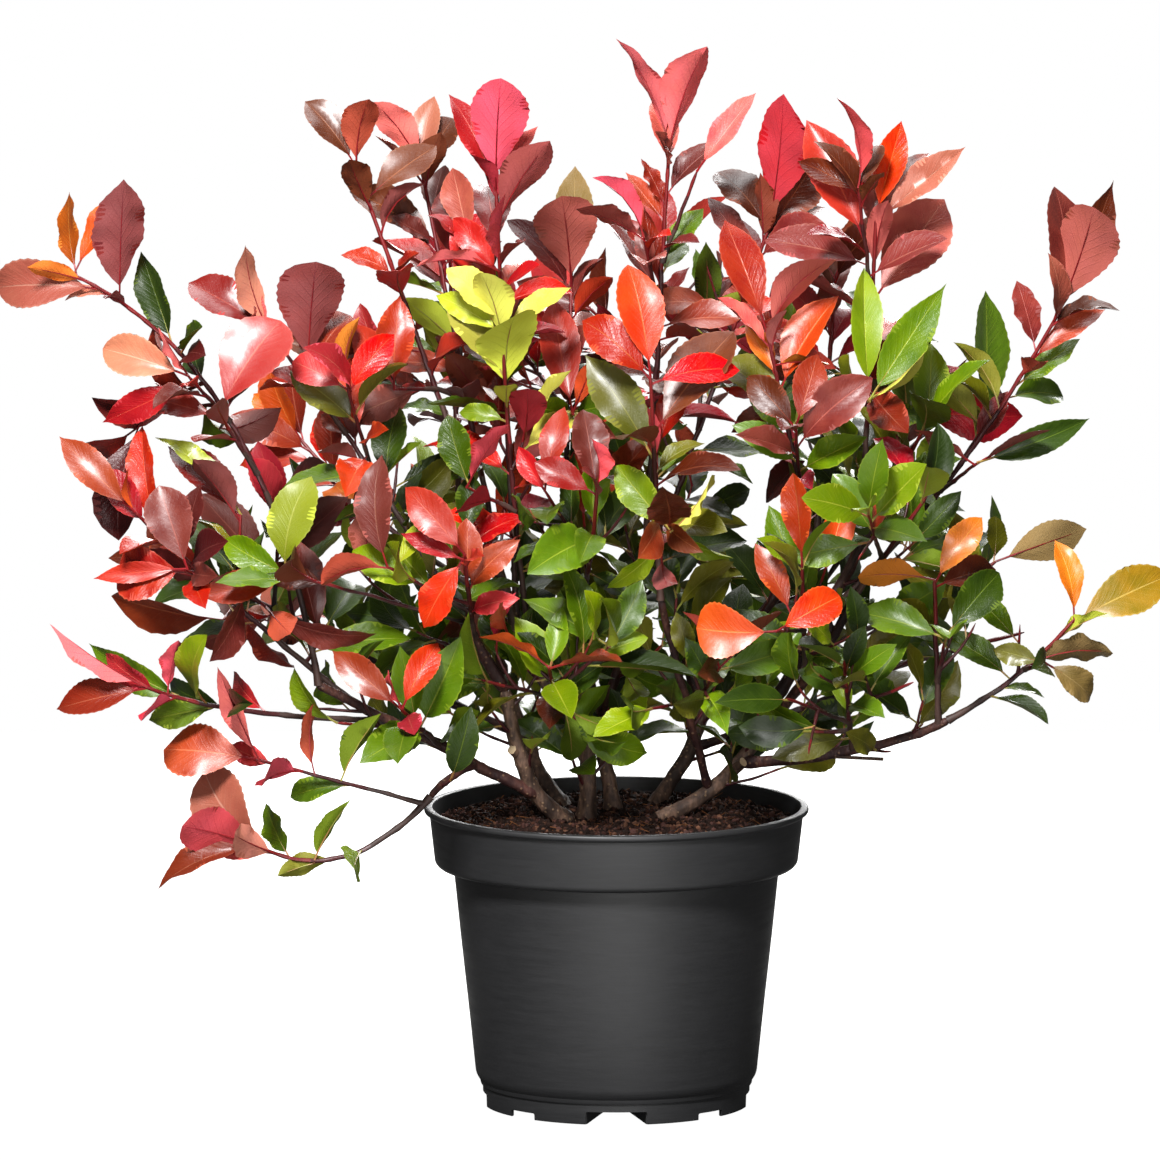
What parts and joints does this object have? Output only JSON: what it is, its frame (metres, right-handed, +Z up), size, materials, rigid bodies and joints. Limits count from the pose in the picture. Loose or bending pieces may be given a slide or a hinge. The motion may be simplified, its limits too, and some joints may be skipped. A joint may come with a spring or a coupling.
{
  "type": "photinia red robin in pot",
  "caption": "Young evergreen bush with glossy red new leaves over dark green old ones, in a round black pot.",
  "frame": {"origin": "middle of the underside of the pot, on the ground it stands on", "axes": "+Z up along the pot's axis, -Y towards the front, +X to the right seen from the front"},
  "size_m": [0.7835, 0.5395, 0.7195],
  "materials": {
    "pot": "satin black moulded plastic",
    "compost": "coarse dark brown moist peat",
    "bark": "grey-brown bark, dark red on the young boughs",
    "leaves_bronze": "red-brown young leaves, satin",
    "leaves_crimson": "crimson young leaves, glossy",
    "leaves_green": "dark green older leaves, satin",
    "leaves_lime": "yellow-green turning leaves, satin",
    "leaves_maroon": "maroon and pink-brown young leaves, satin",
    "leaves_olive": "olive turning leaves, satin",
    "leaves_orange": "orange and orange-red young leaves, glossy",
    "leaves_rose": "rose red young leaves, glossy",
    "leaves_scarlet": "scarlet young leaves, very glossy"
  },
  "bodies": {
    "root": {"pot": "pot", "compost": "compost", "stem_left": "bark", "stem_centre": "bark", "stem_back": "bark", "stem_right": "bark", "stem_rear_right": "bark", "stem_rear_left": "bark", "bough_low_left": "bark", "bough_left_up": "bark", "bough_centre_left": "bark", "bough_centre_up": "bark", "bough_centre_right": "bark", "bough_red": "bark", "bough_right_up": "bark", "bough_right_mid": "bark", "bough_right_low": "bark", "bough_hanging": "bark", "bough_rear_right": "bark", "bough_rear_mid": "bark", "bough_rear_left": "bark", "bough_rear_low_left": "bark", "bough_rear_low_right": "bark", "leaves_left_outer": "leaves_rose", "leaves_left_low": "leaves_maroon", "leaves_low_sprig": "leaves_rose", "leaves_hanging": "leaves_rose", "leaves_left_crown": "leaves_maroon", "leaves_left_front": "leaves_scarlet", "leaves_top_left": "leaves_bronze", "leaves_top_rose": "leaves_rose", "leaves_top_crimson": "leaves_crimson", "leaves_lime": "leaves_lime", "leaves_dusky": "leaves_maroon", "leaves_spire": "leaves_rose", "leaves_scarlet": "leaves_scarlet", "leaves_centre_front": "leaves_crimson", "leaves_top_middle": "leaves_maroon", "leaves_rose_right": "leaves_orange", "leaves_top_right": "leaves_maroon", "leaves_right_green": "leaves_green", "leaves_right_spray": "leaves_maroon", "leaves_right_middle": "leaves_green", "leaves_orange_front": "leaves_orange", "leaves_orange_right": "leaves_orange", "leaves_far_right": "leaves_olive", "leaves_right_reach": "leaves_olive", "leaves_low_left": "leaves_scarlet", "leaves_low_centre": "leaves_green", "leaves_low_right": "leaves_green", "leaves_low_right_green": "leaves_green", "leaves_rim_right": "leaves_olive", "leaves_rear_right_high": "leaves_bronze", "leaves_rear_right_wide": "leaves_maroon", "leaves_rear_middle_high": "leaves_crimson", "leaves_rear_middle_low": "leaves_scarlet", "leaves_rear_left_high": "leaves_rose", "leaves_rear_left_wide": "leaves_orange", "leaves_rear_left_low": "leaves_bronze", "leaves_rear_right_low": "leaves_green"}
  },
  "joints": []
}
